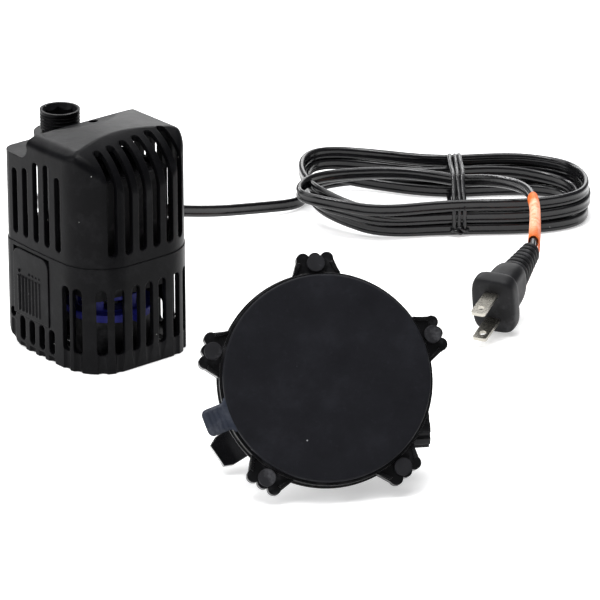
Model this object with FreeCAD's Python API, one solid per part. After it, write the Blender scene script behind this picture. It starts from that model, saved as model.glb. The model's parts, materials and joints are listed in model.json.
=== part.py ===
"""Submersible wave maker pump with its supply cord, wall plug and lever-lock suction mount.

Millimetres.  +Z is up, +X is to the pump's right and the pump's rounded front faces -Y.
The origin is the centre of the pump's base, on the surface that it stands on.
"""
import FreeCAD, Part
import math
import os

os.makedirs("parts", exist_ok=True)
V = FreeCAD.Vector

# ---- pump casing ----
CASE_W = 60.0
CASE_D = 64.0
CASE_H = 99.5
PART_Z = 47.5
WALL = 2.4
FRONT_R = 20.0
BACK_R = 7.0
BULGE = 1.2
SHOULDER_R = 25.0
SIDE_TOP_R = 6.5
CORNER_R = 4.0
PROFILE_OUT = 0.3
STEP_Z = 87.0
STEP_Y = 12.0
BOTTOM_R = 17.0
TAPER = 1.0
SLOT_W = 4.1
SLOT_PITCH = 7.3
SLOT_END_Y = -21.0
SLOT_END_STEP = 0.8
RIB_W = 5.6

# ---- latches ----
LATCH_Y0 = -2.0
LATCH_Y1 = 23.0
LATCH_Z0 = 15.5
LATCH_Z1 = 45.5
LATCH_GAP = 0.35
GRIP_RIBS = 7
GRIP_PITCH = 2.4

# ---- motor and rotor, on a vertical axis ----
AXIS_Y = -5.0
MOTOR_X = 21.0
MOTOR_Y0 = -22.0
MOTOR_Y1 = 12.0
MOTOR_Z0 = 30.0
MOTOR_Z1 = 82.0
MOTOR_WALL = 2.0
WELL_R = 8.6
WELL_TOP = 58.8
SHAFT_R = 1.5
ROTOR_BORE_R = 1.56
MAGNET_R = 7.7
STEM_R = 3.4
CORE_T = 14.0
CORE_LEG = 6.6
BRIDGE_Z0 = 66.5
BRIDGE_Z1 = 74.5
SPIGOT_R = 13.0
BUSH_R = 3.6
LUG_Y0 = -17.0
LUG_Y1 = -9.0
LEDGE_Z = 41.0

# ---- volute and outlet ----
VOLUTE_R = 17.5
VOLUTE_WALL = 2.0
VOLUTE_TOP = 18.0
DUCT_X = -4.5
DUCT_Y = 22.0
DUCT_Z = 12.0
DUCT_R = 5.9
DUCT_BORE = 4.4
RISER_R = 6.0
NIPPLE_BORE = 5.0
NIPPLE_TOP = 101.6
THREAD_R = 8.6
THREAD_PITCH = 1.45
FLANGE_R = 11.4
COLLAR_R = 8.0
COLLAR_Z = 84.0

# ---- cord ----
CORD_W = 5.6
GLAND_X = 13.0
GLAND_Z = 43.0
GLAND_END = 40.0
HANK_CENTRE = V(214, 20, 0)
HANK_ANGLE = -34.5
HANK_LENGTH = 136.0
LEFT_LOBE = 74.0
RIGHT_LOBE = 62.0
LEFT_SHIFT = 4.0
HANK_WAIST = 50.0
HANK_TOP = 20.5
TIE_T = 0.9
TIE_SHIFT = 7.5

# Centre line of the cord from the gland to the hank, and from the hank to the plug.
LEAD_ROUTE = [
    (13, 40, 43), (13, 60, 42), (23, 78, 38), (42, 87.5, 31), (67, 85, 23),
    (92, 76, 16), (117, 71.5, 10.5), (143, 72.5, 5.5), (168.5, 67.7, 3),
]
TAIL_ROUTE = [
    (215.5, 11.7, 19.0), (222, -2.5, 22.0), (222.5, -20, 24.6), (216.5, -36.7, 26),
    (196.6, -60, 25.6), (174.97, -81.2, 23),
]
TAG_START = V(212.1, -41.8, 25.9)
TAG_END = V(181.5, -74.8, 23.9)

# ---- plug ----
PLUG_FACE = V(132.3, -102.1, 13.6)
PLUG_DIR = V(-0.880, -0.431, -0.196)
PLUG_TALL = 27.0
PLUG_WIDE = 20.0
FLANGE_T = 8.0
BODY_END = 26.0
RELIEF_END = 48.5
BLADE_W = 6.35
BLADE_T = 1.5
BLADE_OUT = 16.5
BLADE_SPACING = 12.7

# ---- suction mount ----
MOUNT_CENTRE = V(-21, -173, 45.6)
MOUNT_HEADING = V(-0.537, -0.843, 0)
MOUNT_RISE = 30.0
DISC_R = 41.5
DISC_T = 3.0
RING_R = 42.6
LUG_END = 50.8
FOOT_AT = 46.3
FOOT_R = 3.5
LEVER_ANGLE = 211.0
PIN_DEPTH = 31.5
TOWER_DEPTH = 24.0
CAM_R = 5.0
CAM_THROW = 2.0
STEM_HOLE_R = 4.06
PLUNGER_R = 4.0
PIVOT_U = 22.0
PIVOT_V = -20.0
PIVOT_DEPTH = 18.0

nodes = {}


def box(x0, x1, y0, y1, z0, z1):
    return Part.makeBox(x1 - x0, y1 - y0, z1 - z0, V(x0, y0, z0))


def side_box(side, x0, x1, y0, y1, z0, z1):
    """A box on one side of the YZ plane: side is -1 or 1, and x0, x1 are distances from it."""
    low, high = sorted((side * x0, side * x1))
    return box(low, high, y0, y1, z0, z1)


def cyl(r, z0, z1, x=0.0, y=0.0):
    return Part.makeCylinder(r, z1 - z0, V(x, y, z0))


def rod(r, start, end):
    along = end - start
    return Part.makeCylinder(r, along.Length, start, along)


def cone(r0, r1, start, end):
    along = end - start
    return Part.makeCone(r0, r1, along.Length, start, along)


def tube(outer, inner, z0, z1, x=0.0, y=0.0):
    return cyl(outer, z0, z1, x, y).cut(cyl(inner, z0 - 1, z1 + 1, x, y))


def fuse(shapes):
    return shapes[0].fuse(shapes[1:]).removeSplitter() if len(shapes) > 1 else shapes[0]


def prism(points, depth):
    """A flat outline of straight sides, extruded along the vector depth."""
    face = Part.Face(Part.makePolygon(points + [points[0]]))
    return face.extrude(depth)


def edges_along(shape, axis, keep):
    """Straight edges parallel to axis whose middle passes the test keep."""
    found = []
    for edge in shape.Edges:
        if not isinstance(edge.Curve, Part.Line):
            continue
        run = edge.Vertexes[-1].Point - edge.Vertexes[0].Point
        if run.cross(axis).Length < 1e-6 and keep(edge.CenterOfMass):
            found.append(edge)
    return found


def arc_face(points, depth):
    """A closed outline of three-point arcs (start, middle, start, middle ...) extruded."""
    edges = []
    count = len(points)
    for i in range(0, count, 2):
        edges.append(Part.Arc(points[i], points[i + 1], points[(i + 2) % count]).toShape())
    return Part.Face(Part.Wire(edges)).extrude(depth)


# ---- pump casing ----

def plan_block(inset, z0, z1, grow=0.0):
    """The casing's plan, inset by a wall, between two heights."""
    w = CASE_W / 2 - inset + grow
    d = CASE_D / 2 - inset + grow
    b = BULGE
    block = arc_face([
        V(-w + b, -d + b, z0), V(0, -d, z0),
        V(w - b, -d + b, z0), V(w, 0, z0),
        V(w - b, d, z0), V(0, d + 0.05, z0),
        V(-w + b, d, z0), V(-w, 0, z0),
    ], V(0, 0, z1 - z0))
    up = V(0, 0, 1)
    block = block.makeFillet(FRONT_R - inset, edges_along(block, up, lambda c: c.y < 0))
    return block.makeFillet(BACK_R - inset, edges_along(block, up, lambda c: c.y > 0))


def line(a, b):
    return Part.LineSegment(a, b).toShape()


def arc_about(centre, r, a0, a1, plane):
    """An arc by its angles in the YZ or XZ plane."""
    def at(angle):
        c, s = r * math.cos(math.radians(angle)), r * math.sin(math.radians(angle))
        if plane == "YZ":
            return V(centre.x, centre.y + c, centre.z + s)
        return V(centre.x + c, centre.y, centre.z + s)
    return Part.Arc(at(a0), at((a0 + a1) / 2), at(a1)).toShape()


def cover_profile(inset):
    """Side view of the upper cover, a little outside the bowed front and the crown."""
    x = -CASE_W
    back, front = CASE_D / 2 + 5, -CASE_D / 2 + inset - PROFILE_OUT
    r = SHOULDER_R - inset
    top = CASE_H - inset + PROFILE_OUT
    shoulder = V(x, front + r, top - r)
    step = STEP_Z - inset
    edge = STEP_Y - inset
    low = PART_Z - 10
    rise = top - 1.2
    return Part.Face(Part.Wire([
        line(V(x, back, low), V(x, back, step)),
        line(V(x, back, step), V(x, edge + 4.5, step)),
        Part.Arc(V(x, edge + 4.5, step), V(x, edge + 1.6, step + 1.6), V(x, edge, step + 5)).toShape(),
        Part.Arc(V(x, edge, step + 5), V(x, edge - 0.8, rise - 1.6), V(x, edge - 3.2, rise)).toShape(),
        Part.Arc(V(x, edge - 3.2, rise), V(x, 0, top - 0.25), V(x, front + r, top)).toShape(),
        arc_about(shoulder, r, 90, 180, "YZ"),
        line(V(x, front, top - r), V(x, front, low)),
        line(V(x, front, low), V(x, back, low)),
    ])).extrude(V(2 * CASE_W, 0, 0))


def cover_section(inset):
    """Front view of the upper cover: straight sides with rounded, slightly crowned top."""
    w = CASE_W / 2 - inset + 0.5
    r = SIDE_TOP_R - inset / 2
    top = CASE_H - inset
    sag = 1.6
    y = -CASE_D
    return Part.Face(Part.Wire([
        line(V(-w, y, 30), V(-w, y, top - r - sag)),
        Part.Arc(V(-w, y, top - r - sag), V(-w + 0.31 * r, y, top - sag - 0.31 * r),
                 V(-w + r, y, top - sag)).toShape(),
        Part.Arc(V(-w + r, y, top - sag), V(0, y, top), V(w - r, y, top - sag)).toShape(),
        Part.Arc(V(w - r, y, top - sag), V(w - 0.31 * r, y, top - sag - 0.31 * r),
                 V(w, y, top - r - sag)).toShape(),
        line(V(w, y, top - r - sag), V(w, y, 30)),
        line(V(w, y, 30), V(-w, y, 30)),
    ])).extrude(V(0, 2 * CASE_D, 0))


def cover_body(inset):
    body = plan_block(inset, PART_Z, CASE_H + 5)
    return body.common(cover_profile(inset)).common(cover_section(inset))


def shoulder_edges(body):
    """The edges where the rounded front corners meet the shoulder and the crowned top."""
    found = []
    for edge in body.Edges:
        c = edge.CenterOfMass
        on_shoulder = abs(c.x) > 19 and c.y < -15 and c.z > 80
        if on_shoulder and edge.Length > 4:
            found.append(edge)
    return found


def rounded_cover():
    body = cover_body(0.0)
    return body.makeFillet(CORNER_R, shoulder_edges(body))


def round_slot(centre, along, across, width, z0, z1, depth):
    """A slot through a wall: rounded ends, width along `across`, cut along `along`."""
    r = width / 2
    half = along * depth
    side = across * r
    low = centre + V(0, 0, z0 + r) - half
    high = centre + V(0, 0, z1 - r) - half
    middle = prism([low - side, low + side, high + side, high - side], half * 2)
    ends = [Part.makeCylinder(r, depth * 2, p, along) for p in (low, high)]
    return [middle] + ends


def upper_cover():
    shell = rounded_cover().cut(cover_body(WALL).fuse(plan_block(WALL, PART_Z - 1, PART_Z + 2)))
    cuts = []
    for i in range(6):
        x = (i - 2.5) * SLOT_PITCH + 1.0
        cuts += round_slot(V(x, -CASE_D / 2 + 4, 0), V(0, 1, 0), V(1, 0, 0), SLOT_W, 52.5, 84, 9)
        end = SLOT_END_Y + i * SLOT_END_STEP
        cuts.append(box(x - SLOT_W / 2, x + SLOT_W / 2, -40, end, 60, CASE_H + 5))
        cuts.append(cyl(SLOT_W / 2, 80, CASE_H + 5, x, end))
    tops = [81, 83, 87.5, 88.5, 85]
    for i, top in enumerate(tops):
        y = 21.6 - i * 7.6
        cuts += round_slot(V(0, y, 0), V(1, 0, 0), V(0, 1, 0), 3.8, 51.5, top, 40)
    for i in range(6):
        x = (i - 2.5) * SLOT_PITCH
        cuts += round_slot(V(x, CASE_D / 2, 0), V(0, 1, 0), V(1, 0, 0), 3.8, 52.5, 80, 5)
    cuts.append(cyl(FLANGE_R + 0.4, STEP_Z, CASE_H + 5, DUCT_X, DUCT_Y))
    cuts.append(cyl(COLLAR_R, COLLAR_Z, STEP_Z + 1, DUCT_X, DUCT_Y))
    cuts.append(cyl(2.0, CASE_H - 1.9, CASE_H + 2, 1.0, 6.0))
    return shell.cut(cuts)


def cage_profile(inset):
    """Side view of the lower cage: flat floor, round lower back edge, slight front taper."""
    x = -CASE_W
    back, front = CASE_D / 2 + 5 - inset, -CASE_D / 2 + inset
    wall_back = CASE_D / 2 - inset
    r = BOTTOM_R - inset
    floor = inset
    centre = V(x, wall_back - r, floor + r)
    top = PART_Z + 5
    return Part.Face(Part.Wire([
        line(V(x, front + TAPER, floor), V(x, centre.y, floor)),
        arc_about(centre, r, 270, 360, "YZ"),
        line(V(x, wall_back, centre.z), V(x, back, centre.z + 8)),
        line(V(x, back, centre.z + 8), V(x, back, top)),
        line(V(x, back, top), V(x, front - 2, top)),
        line(V(x, front - 2, top), V(x, front - 2, PART_Z - 20)),
        line(V(x, front - 2, PART_Z - 20), V(x, front + TAPER, floor)),
    ])).extrude(V(2 * CASE_W, 0, 0))


def cage_body(inset):
    return plan_block(inset, inset, PART_Z, 0.25).common(cage_profile(inset))


def cage_stations():
    """Foot point, outward direction and width of each tall slot around front and corners."""
    stations = [(V(x, -CASE_D / 2, 0), V(0, -1, 0), SLOT_W) for x in (-7, 0, 7)]
    corner_x, corner_y = CASE_W / 2 - FRONT_R, -CASE_D / 2 + FRONT_R
    for side in (-1, 1):
        for angle in (4, 22, 53, 75):
            a = math.radians(angle)
            out = V(side * math.cos(a), -math.sin(a), 0)
            foot = V(side * corner_x, corner_y, 0) + out * FRONT_R
            stations.append((foot, out, 4.6))
    return stations


def flute(foot, out, z1):
    """A shallow outside groove from the base up to z1."""
    at = foot + out * 1.6
    return Part.makeCylinder(2.6, z1 + 1, V(at.x, at.y, -1))


def lower_cage():
    shell = cage_body(0.0).cut(cage_body(WALL).fuse(plan_block(WALL, PART_Z - 5, PART_Z + 1, 0.25)))
    cuts = []
    for foot, out, width in cage_stations():
        across = V(-out.y, out.x, 0)
        cuts += round_slot(foot, out, across, width, 8, 38, 5)
        cuts.append(flute(foot, out, 8.5))
    for y in (24.5, 17.5, 10.5, 3.5, -3.5):
        low = 12.5 if y > 20 else 3.6
        cuts += round_slot(V(0, y, 0), V(1, 0, 0), V(0, 1, 0), SLOT_W, low, 13.9 + low / 4, 40)
        for side in (-1, 1):
            cuts.append(flute(V(side * CASE_W / 2, y, 0), V(side, 0, 0), low - 1.0))
    for x in (-21, -14, 7, 14, 21):
        cuts += round_slot(V(x, CASE_D / 2, 0), V(0, 1, 0), V(1, 0, 0), SLOT_W, 14, 37, 6)
    for x in (-19, -12, 12, 19):
        for y in (-14, 6):
            cuts.append(box(x - 1.8, x + 1.8, y - 7, y + 7, -1, WALL + 0.5))
    for side in (-1, 1):
        gap = LATCH_GAP
        cuts.append(side_box(side, 20, 40, LATCH_Y0 - gap, LATCH_Y1 + gap, LATCH_Z0 - gap, LATCH_Z1 + gap))
    cuts.append(box(GLAND_X - 4.4, GLAND_X + 4.4, 25, 40, GLAND_Z, PART_Z + 1))
    cuts.append(Part.makeCylinder(4.4, 15, V(GLAND_X, 25, GLAND_Z), V(0, 1, 0)))
    cage = shell.cut(cuts)
    base_pad = cyl(9.0, 0, WALL)
    ledges = [side_box(side, 22, 28.4, LUG_Y0, LUG_Y1, LEDGE_Z - 2.5, LEDGE_Z) for side in (-1, 1)]
    rail = box(-8, -1, CASE_D / 2 - 0.6, CASE_D / 2 + 2.2, 24, 44)
    rail_head = box(-11, 2, CASE_D / 2 + 1.8, CASE_D / 2 + 3.8, 24, 44)
    return fuse([cage, base_pad, rail, rail_head] + ledges)


def latch(side):
    """A flexible side panel with grip ribs and an inner nose that reaches into the cover."""
    wall = plan_block(-0.5, LATCH_Z0, LATCH_Z1, 0.25).cut(plan_block(WALL - 0.3, LATCH_Z0 - 1,
                                                                  LATCH_Z1 + 1, 0.25))
    window = side_box(side, 20, 40, LATCH_Y0, LATCH_Y1, LATCH_Z0, LATCH_Z1)
    corners = edges_along(window, V(1, 0, 0), lambda c: c.z > LATCH_Z1 - 1)
    panel = wall.common(window.makeFillet(4.5, corners))
    middle = (LATCH_Y0 + LATCH_Y1) / 2
    face = side * (CASE_W / 2 + 0.75)
    pieces = [panel]
    for i in range(GRIP_RIBS):
        y = middle + 1.0 + (i - (GRIP_RIBS - 1) / 2) * GRIP_PITCH
        pieces.append(cyl(0.75, 17.5, 33.5, face - side * 0.35, y))
        pieces.append(Part.makeSphere(0.7, V(face - side * 0.35, y, 35.4)))
    inner = CASE_W / 2 - WALL + 0.3
    nose = ((inner - 2.6, inner + 0.6, 38, 44.5), (inner - 2.6, inner - 1.2, 38, 53),
            (inner - 1.6, inner - 0.85, 50.6, 52.4))
    for x0, x1, z0, z1 in nose:
        pieces.append(side_box(side, x0, x1, middle - 6, middle + 6, z0, z1))
    return fuse(pieces)


# ---- motor ----

def rounded_box(x0, x1, y0, y1, z0, z1, r):
    block = box(x0, x1, y0, y1, z0, z1)
    return block.makeFillet(r, edges_along(block, V(0, 0, 1), lambda c: True))


def motor_cavity():
    w = MOTOR_WALL
    return rounded_box(-MOTOR_X + w, MOTOR_X - w, MOTOR_Y0 + w, MOTOR_Y1 - w,
                       MOTOR_Z0 + w, MOTOR_Z1 + 1, 3.0)


def motor_housing():
    outside = rounded_box(-MOTOR_X, MOTOR_X, MOTOR_Y0, MOTOR_Y1, MOTOR_Z0, MOTOR_Z1, 5.0)
    shell = outside.cut(motor_cavity())
    well = cyl(WELL_R + 1.2, MOTOR_Z0, WELL_TOP + 1.5, 0, AXIS_Y)
    spigot = cyl(SPIGOT_R, MOTOR_Z0 - 3.0, MOTOR_Z0 + 0.5, 0, AXIS_Y)
    lugs = [side_box(side, 20, 26.5, LUG_Y0, LUG_Y1, LEDGE_Z, LEDGE_Z + 3) for side in (-1, 1)]
    body = fuse([shell, well, spigot] + lugs).cut(cyl(WELL_R, 20, WELL_TOP, 0, AXIS_Y))
    return body.cut(motor_cavity().cut(cyl(WELL_R + 1.2, 20, WELL_TOP + 1.5, 0, AXIS_Y))).fuse(
        tube(5.2, BUSH_R, 56.5, WELL_TOP, 0, AXIS_Y))


def stator_core():
    """A U of laminations whose legs stand either side of the rotor well."""
    leg_in = WELL_R + 1.6
    leg_out = leg_in + CORE_LEG
    y0, y1 = AXIS_Y - CORE_T / 2, AXIS_Y + CORE_T / 2
    legs = [side_box(side, leg_in, leg_out, y0, y1, 35, 76) for side in (-1, 1)]
    return fuse(legs + [box(-leg_out, leg_out, y0, y1, BRIDGE_Z0, BRIDGE_Z1)])


def coil_bobbin():
    half = WELL_R + 1.4
    tube_y, z0, z1 = CORE_T / 2, BRIDGE_Z0, BRIDGE_Z1
    barrel = box(-half, half, AXIS_Y - tube_y - 1.2, AXIS_Y + tube_y + 1.2, z0 - 1.2, z1 + 1.2)
    flanges = [box(x, x + 1.2, AXIS_Y - 12, AXIS_Y + 12, 61, 80) for x in (-half, half - 1.2)]
    hole = box(-half - 1, half + 1, AXIS_Y - tube_y, AXIS_Y + tube_y, z0, z1)
    return fuse([barrel] + flanges).cut(hole)


def coil_winding():
    half = WELL_R + 0.2
    outer = box(-half, half, AXIS_Y - 11.4, AXIS_Y + 11.4, 61.6, 79.4)
    turn = outer.makeFillet(2.5, edges_along(outer, V(1, 0, 0), lambda c: True))
    inner = CORE_T / 2 + 1.2
    return turn.cut(box(-half - 1, half + 1, AXIS_Y - inner, AXIS_Y + inner,
                        BRIDGE_Z0 - 1.2, BRIDGE_Z1 + 1.2))


def potting(buried):
    fill = motor_cavity().cut(box(-40, 40, -40, 40, MOTOR_Z1 - 0.8, 120))
    well = cyl(WELL_R + 1.2, 20, WELL_TOP + 1.5, 0, AXIS_Y)
    return fill.cut([well] + buried)


# ---- rotor ----

def rotor_magnet():
    return tube(MAGNET_R, STEM_R, 33.5, 55.5, 0, AXIS_Y)


def impeller():
    """Hub tube, six straight blades and a back plate."""
    pieces = [cyl(STEM_R, 8.2, 56.2, 0, AXIS_Y), cyl(12.6, 7.0, 8.4, 0, AXIS_Y),
              cyl(6.0, 30.8, 33.5, 0, AXIS_Y)]
    for i in range(6):
        blade = box(0, 12.6, -0.7, 0.7, 8.2, 15.0)
        blade.rotate(V(0, 0, 0), V(0, 0, 1), i * 60)
        blade.translate(V(0, AXIS_Y, 0))
        pieces.append(blade)
    return fuse(pieces).cut(cyl(ROTOR_BORE_R, 0, 60, 0, AXIS_Y))


def bush(z0, z1, cap0, cap1):
    body = cyl(BUSH_R, min(z0, cap0), max(z1, cap1), 0, AXIS_Y)
    return body.cut(cyl(SHAFT_R, z0, z1, 0, AXIS_Y))


# ---- volute, riser and outlet ----

def volute_housing():
    """Cup around the impeller with a tangential duct, an elbow and a riser socket."""
    cup = cyl(VOLUTE_R, WALL, VOLUTE_TOP, 0, AXIS_Y)
    elbow = V(DUCT_X, DUCT_Y, DUCT_Z)
    duct = rod(DUCT_R, V(DUCT_X, AXIS_Y, DUCT_Z), elbow)
    ball = Part.makeSphere(DUCT_R, elbow)
    stub = cyl(DUCT_R, DUCT_Z, 20, DUCT_X, DUCT_Y)
    socket = cyl(RISER_R + 1.9, 20, 30, DUCT_X, DUCT_Y)
    cap = cone(DUCT_R, RISER_R + 1.9, V(DUCT_X, DUCT_Y, 17.5), V(DUCT_X, DUCT_Y, 20))
    body = fuse([cup, duct, ball, stub, cap, socket])
    hollow = [
        cyl(VOLUTE_R - VOLUTE_WALL, WALL + 2, VOLUTE_TOP + 1, 0, AXIS_Y),
        rod(DUCT_BORE, V(DUCT_X, AXIS_Y, DUCT_Z), elbow),
        Part.makeSphere(DUCT_BORE, elbow),
        cyl(DUCT_BORE, DUCT_Z, 24, DUCT_X, DUCT_Y),
        cyl(RISER_R, 22, 31, DUCT_X, DUCT_Y),
    ]
    boss = tube(5.4, BUSH_R, WALL + 1, WALL + 4, 0, AXIS_Y)
    return body.cut(hollow).fuse(boss)


def riser_pipe():
    return tube(RISER_R, DUCT_BORE, 22, 90, DUCT_X, DUCT_Y)


def seal_ring(r, wire, z):
    return Part.makeTorus(r, wire, V(DUCT_X, DUCT_Y, z), V(0, 0, 1))


def hex_prism(flat, z0, z1, x, y):
    r = flat / math.sqrt(3)
    corners = [V(x + r * math.cos(math.radians(60 * i)), y + r * math.sin(math.radians(60 * i)), z0)
               for i in range(6)]
    return prism(corners, V(0, 0, z1 - z0))


def outlet_nipple():
    """Threaded hose nipple: collar, thread crests, flared mouth and a socket for a key."""
    x, y = DUCT_X, DUCT_Y
    pieces = [cyl(COLLAR_R, COLLAR_Z, STEP_Z, x, y), cyl(FLANGE_R, STEP_Z, 91.6, x, y),
              cyl(THREAD_R - 0.8, 91, NIPPLE_TOP, x, y)]
    z = 92.9
    while z + THREAD_PITCH < NIPPLE_TOP - 0.8:
        pieces.append(cone(THREAD_R - 0.85, THREAD_R, V(x, y, z), V(x, y, z + THREAD_PITCH * 0.42)))
        pieces.append(cone(THREAD_R, THREAD_R - 0.85, V(x, y, z + THREAD_PITCH * 0.42),
                           V(x, y, z + THREAD_PITCH * 0.84)))
        z += THREAD_PITCH
    pieces.append(cyl(THREAD_R, NIPPLE_TOP - 1.2, NIPPLE_TOP, x, y))
    body = fuse(pieces)
    return body.cut([
        cyl(RISER_R + 0.05, 80, 90.2, x, y),
        cyl(NIPPLE_BORE, 80, NIPPLE_TOP + 1, x, y),
        hex_prism(11.6, 96.4, NIPPLE_TOP + 1, x, y),
        cone(5.2, 7.7, V(x, y, NIPPLE_TOP - 3.4), V(x, y, NIPPLE_TOP + 0.2)),
    ])


def impeller_cover():
    """Blue twist-off collar: lid of the volute, windows to the intake eye, motor spigot."""
    y = AXIS_Y
    flange = cyl(VOLUTE_R + 1.2, VOLUTE_TOP + 0.15, VOLUTE_TOP + 3.4, 0, y)
    hub = cyl(14.6, VOLUTE_TOP + 3, 28.2, 0, y)
    grips = []
    for i in range(3):
        grip = box(-2, 2, y + VOLUTE_R, y + VOLUTE_R + 3.6, VOLUTE_TOP + 0.15, VOLUTE_TOP + 3.4)
        grip.rotate(V(0, y, 0), V(0, 0, 1), 60 + 120 * i)
        grips.append(grip)
    body = fuse([flange, hub] + grips)
    cuts = [cyl(7.2, 10, 23, 0, y), cyl(12.6, 22.4, 40, 0, y), cyl(SPIGOT_R + 0.08, 26.8, 40, 0, y)]
    for i in range(6):
        window = box(-4.6, 4.6, y + 9, y + 20, 22.4, 26.6)
        window.rotate(V(0, y, 0), V(0, 0, 1), 30 + 60 * i)
        cuts.append(window)
    return body.cut(cuts)


# ---- cord ----

def cord_path(route, name):
    """Straight runs joined by tangent arcs as large as the runs allow."""
    points = [V(*p) for p in route]
    runs = [(b - a).Length for a, b in zip(points, points[1:])]
    edges = []
    length = 0.0
    radii = []
    start = points[0]
    for i in range(1, len(points) - 1):
        into = (points[i] - points[i - 1]).normalize()
        out = (points[i + 1] - points[i]).normalize()
        turn = into.getAngle(out)
        back = 0.45 * min(runs[i - 1], runs[i])
        radius = back / math.tan(turn / 2)
        a, b = points[i] - into * back, points[i] + out * back
        bisector = (out - into).normalize()
        middle = points[i] + bisector * (radius / math.cos(turn / 2) - radius)
        edges.append(line(start, a))
        edges.append(Part.Arc(a, middle, b).toShape())
        length += (a - start).Length + radius * turn
        radii.append(round(radius, 1))
        start = b
    edges.append(line(start, points[-1]))
    length += (points[-1] - start).Length
    print(name, "length", round(length, 1), "radii", radii)
    return Part.Wire(edges), length


def cord_tube(route, name):
    path, length = cord_path(route, name)
    points = [V(*p) for p in route]
    ring = Part.makeCircle(CORD_W / 2, points[0], points[1] - points[0])
    solid = path.makePipeShell([Part.Wire([ring])], True, True)
    section = math.pi * CORD_W ** 2 / 4
    print(name, "volume ratio", round(solid.Volume / (section * length), 4))
    return solid


def cord_gland():
    """Moulded strain relief on the motor's back, tapering along the cord."""
    root = V(GLAND_X, MOTOR_Y1, GLAND_Z)
    tip = V(GLAND_X, GLAND_END, GLAND_Z)
    neck = V(GLAND_X, MOTOR_Y1 + 3, GLAND_Z)
    pieces = [rod(5.6, root, neck), cone(4.2, 3.4, neck, tip)]
    for i in range(4):
        at = neck + V(0, 2.0 + 2.6 * i, 0)
        pieces.append(rod(4.6 - 0.15 * i, at, at + V(0, 1.3, 0)))
    return fuse(pieces)


def hank_frame(shape):
    shape.rotate(V(0, 0, 0), V(0, 0, 1), HANK_ANGLE)
    shape.translate(HANK_CENTRE)
    return shape


def cord_hank():
    """Outer shape of the tied hank: two round ends and a waist at the tie."""
    half, waist = HANK_LENGTH / 2, HANK_WAIST / 2
    left, right = LEFT_LOBE / 2, RIGHT_LOBE / 2
    solid = arc_face([
        V(left - half, LEFT_SHIFT + left, 0), V(TIE_SHIFT, waist, 0),
        V(half - right, right, 0), V(half, 0, 0),
        V(half - right, -right, 0), V(TIE_SHIFT, -waist, 0),
        V(left - half, LEFT_SHIFT - left, 0), V(-half, LEFT_SHIFT, 0),
    ], V(0, 0, HANK_TOP))
    return hank_frame(solid).cut(cord_tie())


def cord_tie():
    """Two turns of covered wire drawn round the hank's waist."""
    side = HANK_WAIST / 2 + 0.6
    turns = []
    for x in (TIE_SHIFT - 2.0, TIE_SHIFT + 2.0):
        outer = box(x - 1.0, x + 1.0, -side, side, 0, HANK_TOP + 0.6)
        turns.append(outer.makeFillet(2.5, edges_along(outer, V(1, 0, 0), lambda c: c.z > 5)))
    band = Part.makeCompound(turns)
    hollow = box(TIE_SHIFT - 9, TIE_SHIFT + 9, TIE_T - side, side - TIE_T, TIE_T, HANK_TOP + 0.6 - TIE_T)
    return hank_frame(band.cut(hollow))


def cord_tag():
    """Paper wrap round the cord just above the plug."""
    return rod(CORD_W / 2 + 0.7, TAG_START, TAG_END).cut(rod(CORD_W / 2, TAG_START, TAG_END))


# ---- plug ----

def frame_placement(origin, x_axis, z_hint):
    """A placement whose X runs along x_axis and whose Z is as near to z_hint as possible."""
    x = V(x_axis).normalize()
    y = z_hint.cross(x).normalize()
    z = x.cross(y)
    return FreeCAD.Placement(FreeCAD.Matrix(x.x, y.x, z.x, origin.x, x.y, y.y, z.y, origin.y,
                                            x.z, y.z, z.z, origin.z, 0, 0, 0, 1))


def moved(shape, placement):
    copy = shape.copy()
    copy.Placement = placement.multiply(copy.Placement)
    return copy


PLUG_FRAME = frame_placement(PLUG_FACE, PLUG_DIR, V(0, 0, 1))


def blade(z):
    r = BLADE_T / 2
    bar = box(-7, BLADE_OUT, -BLADE_W / 2, BLADE_W / 2, z - r, z + r)
    tip = edges_along(bar, V(0, 0, 1), lambda c: c.x > BLADE_OUT - 1)
    return bar.makeFillet(1.2, tip).cut(Part.makeCylinder(1.6, 6, V(BLADE_OUT - 4.4, 0, z - 3)))


def plug_body(blades):
    y, z = PLUG_WIDE / 2, PLUG_TALL / 2
    flange = box(-FLANGE_T, 0, -y, y, -z, z)
    flange = flange.makeFillet(5.0, edges_along(flange, V(1, 0, 0), lambda c: True))
    section = []
    for x, half_y, half_z in ((-FLANGE_T + 0.5, y - 2.4, z - 3.0), (-BODY_END, 6.4, 7.0)):
        outline = Part.makePolygon([V(x, -half_y, -half_z), V(x, half_y, -half_z), V(x, half_y, half_z),
                                    V(x, -half_y, half_z), V(x, -half_y, -half_z)])
        section.append(outline)
    grip = Part.makeLoft(section, True)
    return fuse([flange, grip]).cut(blades)


def plug_strain_relief():
    start, end = V(-BODY_END, 0, 0), V(-RELIEF_END, 0, 0)
    pieces = [cone(5.0, 3.6, start, end)]
    for i in range(6):
        x = -BODY_END - 1.2 - i * 3.5
        pieces.append(rod(6.3 - 0.32 * i, V(x, 0, 0), V(x - 2.2, 0, 0)))
    return fuse(pieces)


# ---- suction mount, modelled with its face on the local XY plane ----

def mount_placement():
    rise = math.radians(MOUNT_RISE)
    heading = V(MOUNT_HEADING).normalize()
    w = heading * math.cos(rise) + V(0, 0, math.sin(rise))
    u = V(-heading.y, heading.x, 0)
    v = w.cross(u)
    c = MOUNT_CENTRE
    return FreeCAD.Placement(FreeCAD.Matrix(u.x, v.x, w.x, c.x, u.y, v.y, w.y, c.y,
                                            u.z, v.z, w.z, c.z, 0, 0, 0, 1))


MOUNT_FRAME = mount_placement()


def spin(shape, angle):
    copy = shape.copy()
    copy.rotate(V(0, 0, 0), V(0, 0, 1), angle)
    return copy


LUG_ANGLES = [307.5 + 72 * i for i in range(5)]


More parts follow.
